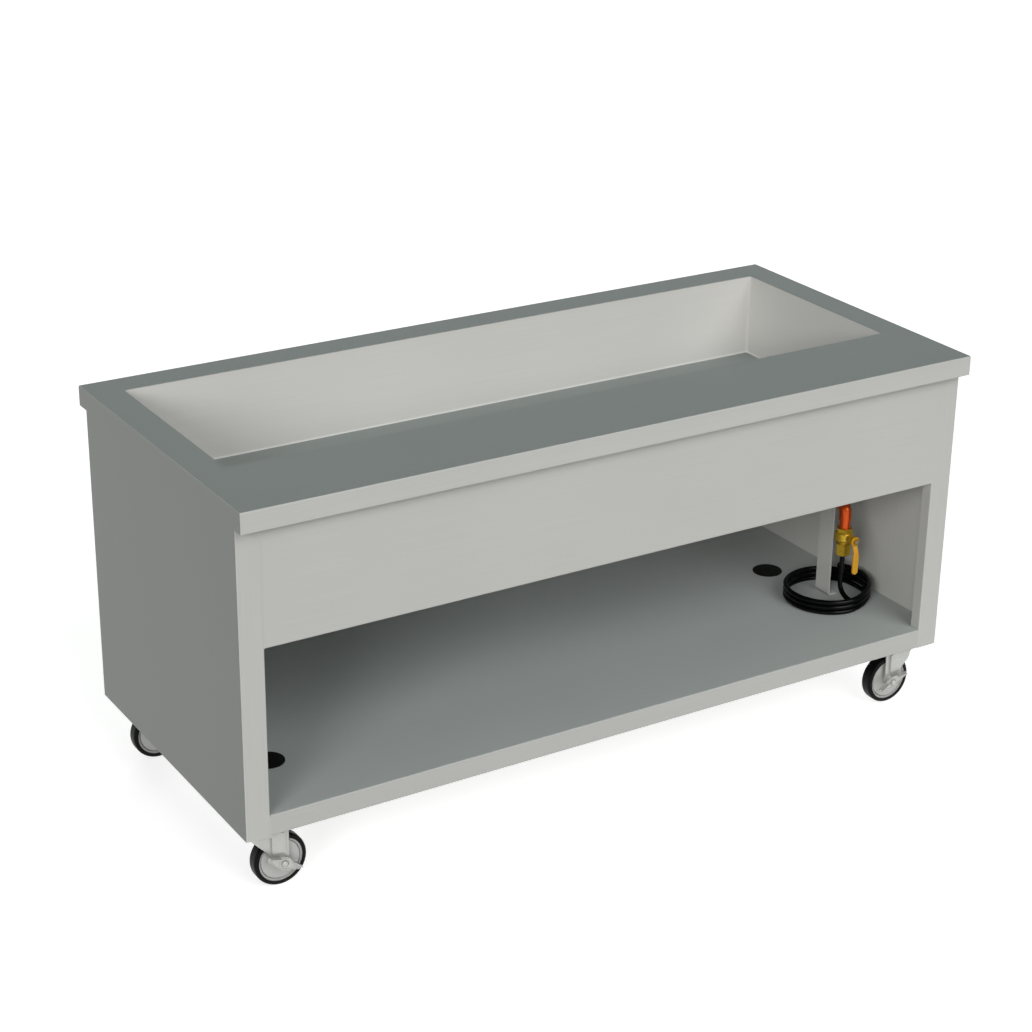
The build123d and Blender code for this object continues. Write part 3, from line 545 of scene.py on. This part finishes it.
# the other finishes, each with what it gives the eye: two near tones, gloss, metallic share,
# specular level, and the cell and the depth of its pattern in metres
finishes = {
    # dull grey in soft patches of spangle
    "galvanised": {
        "name": "hot-dip galvanised steel",
        "tones": ("#9FA3A5", "#B4B8B9"),
        "gloss": (0.35, 0.55),
        "metal": 0.5,
        "specular": 0.5,
        "cell": 0.02,
        "depth": 0.0,
    },
    # matt, pale yellow and finely pored
    "foam": {
        "name": "rigid polyurethane foam",
        "tones": ("#DDD2A8", "#EADFBB"),
        "gloss": (0.8, 0.95),
        "metal": 0.0,
        "specular": 0.5,
        "cell": 0.002,
        "depth": 0.0005,
    },
    # black and half matt, with the mould's fine grain
    "black_plastic": {
        "name": "moulded black polyethylene",
        "tones": ("#040405", "#0A0A0B"),
        "gloss": (0.4, 0.55),
        "metal": 0.0,
        "specular": 0.2,
        "cell": 0.0015,
        "depth": 0.0001,
    },
    # pale grey with a soft shine
    "zinc_plate": {
        "name": "bright zinc plated steel",
        "tones": ("#B4B4B1", "#C8C8C5"),
        "gloss": (0.26, 0.40),
        "metal": 0.45,
        "specular": 0.5,
        "cell": 0.006,
        "depth": 0.0,
    },
    # satin grey with the slight skin of the casting
    "wheel_grey": {
        "name": "die-cast aluminium",
        "tones": ("#AEAEAB", "#BEBEBB"),
        "gloss": (0.35, 0.5),
        "metal": 0.35,
        "specular": 0.5,
        "cell": 0.003,
        "depth": 0.0001,
    },
    # black with a low sheen
    "tyre_rubber": {
        "name": "moulded tyre rubber",
        "tones": ("#030304", "#080809"),
        "gloss": (0.34, 0.46),
        "metal": 0.0,
        "specular": 0.12,
        "cell": 0.002,
        "depth": 0.0001,
    },
    # orange red and smooth, a little tarnished
    "copper": {
        "name": "drawn copper",
        "tones": ("#C0430F", "#D65A1E"),
        "gloss": (0.22, 0.38),
        "metal": 0.7,
        "specular": 0.5,
        "cell": 0.012,
        "depth": 0.0,
    },
    # yellow metal with the fine skin of the forging
    "brass": {
        "name": "forged brass",
        "tones": ("#B08A1C", "#CCA836"),
        "gloss": (0.22, 0.36),
        "metal": 0.65,
        "specular": 0.5,
        "cell": 0.004,
        "depth": 0.0001,
    },
    # bright and smooth
    "bright_steel": {
        "name": "plated bright steel",
        "tones": ("#B9B9B8", "#CBCBCA"),
        "gloss": (0.18, 0.3),
        "metal": 0.7,
        "specular": 0.5,
        "cell": 0.004,
        "depth": 0.0,
    },
    # warm yellow with the dip's soft gloss
    "yellow_vinyl": {
        "name": "dipped yellow vinyl",
        "tones": ("#C98F1E", "#D69F30"),
        "gloss": (0.3, 0.42),
        "metal": 0.0,
        "specular": 0.5,
        "cell": 0.002,
        "depth": 0.0001,
    },
    # white, smooth and waxy
    "white_seat": {
        "name": "pressed white fluoropolymer",
        "tones": ("#E6E6E2", "#F0F0EC"),
        "gloss": (0.4, 0.5),
        "metal": 0.0,
        "specular": 0.5,
        "cell": 0.002,
        "depth": 0.0,
    },
    # dark grey and matt
    "gasket_rubber": {
        "name": "moulded gasket rubber",
        "tones": ("#1A1A1A", "#262626"),
        "gloss": (0.6, 0.8),
        "metal": 0.0,
        "specular": 0.5,
        "cell": 0.002,
        "depth": 0.0001,
    },
    # black with a narrow shine along the hose
    "hose_rubber": {
        "name": "extruded hose rubber",
        "tones": ("#020203", "#060607"),
        "gloss": (0.18, 0.24),
        "metal": 0.0,
        "specular": 0.16,
        "cell": 0.003,
        "depth": 0.0001,
    },
}
mottling = {"detail": 4.0, "bump": 0.3}


def mottledFinish(spec, mottling):
    # the two tones are mottled by a fine noise, which also stirs the gloss and, with a depth, the skin
    material, tree = newMaterial(spec["name"])
    place = addNode(tree, "ShaderNodeTexCoord")
    mottle = addNode(
        tree,
        "ShaderNodeTexNoise",
        {"Scale": 1.0 / spec["cell"], "Detail": mottling["detail"]},
        {"Vector": place.outputs["Object"]},
    )
    tones = addNode(
        tree,
        "ShaderNodeMixRGB",
        {"Color1": hexColour(spec["tones"][0]), "Color2": hexColour(spec["tones"][1])},
        {"Fac": mottle.outputs["Fac"]},
    )
    gloss = addNode(
        tree,
        "ShaderNodeMapRange",
        {"To Min": spec["gloss"][0], "To Max": spec["gloss"][1]},
        {"Value": mottle.outputs["Fac"]},
    )
    shader = addNode(
        tree,
        "ShaderNodeBsdfPrincipled",
        {"Metallic": spec["metal"], "Specular IOR Level": spec["specular"]},
        {"Base Color": tones.outputs[0], "Roughness": gloss.outputs[0]},
    )
    if spec["depth"] > 0.0:
        bump = addNode(
            tree,
            "ShaderNodeBump",
            {"Strength": mottling["bump"], "Distance": spec["depth"]},
            {"Height": mottle.outputs["Fac"]},
        )
        tree.links.new(bump.outputs[0], shader.inputs["Normal"])
    addNode(tree, "ShaderNodeOutputMaterial", {}, {"Surface": shader.outputs[0]})
    return material


materials = {name: brushedStainless(name, spec, beltBrush) for name, spec in stainlessSheets.items()}
materials.update({name: mottledFinish(spec, mottling) for name, spec in finishes.items()})
slotOfNode = {row["node"]: row["material_slot"] for row in frame["record"]["subparts"]}
# the end panels take the sheet with upright grain and painted shade on their outer faces
uprightGrainAndShade = ("left_end_panel", "right_end_panel")

for name, node in nodes.items():
    finish = "stainless_ends" if name in uprightGrainAndShade else slotOfNode[name]
    for slot in node.material_slots:
        slot.material = materials[finish]
hose.data.materials.append(materials["hose_rubber"])
seams.data.materials.append(materials["stainless_body"])
print("finishes:", len(materials))
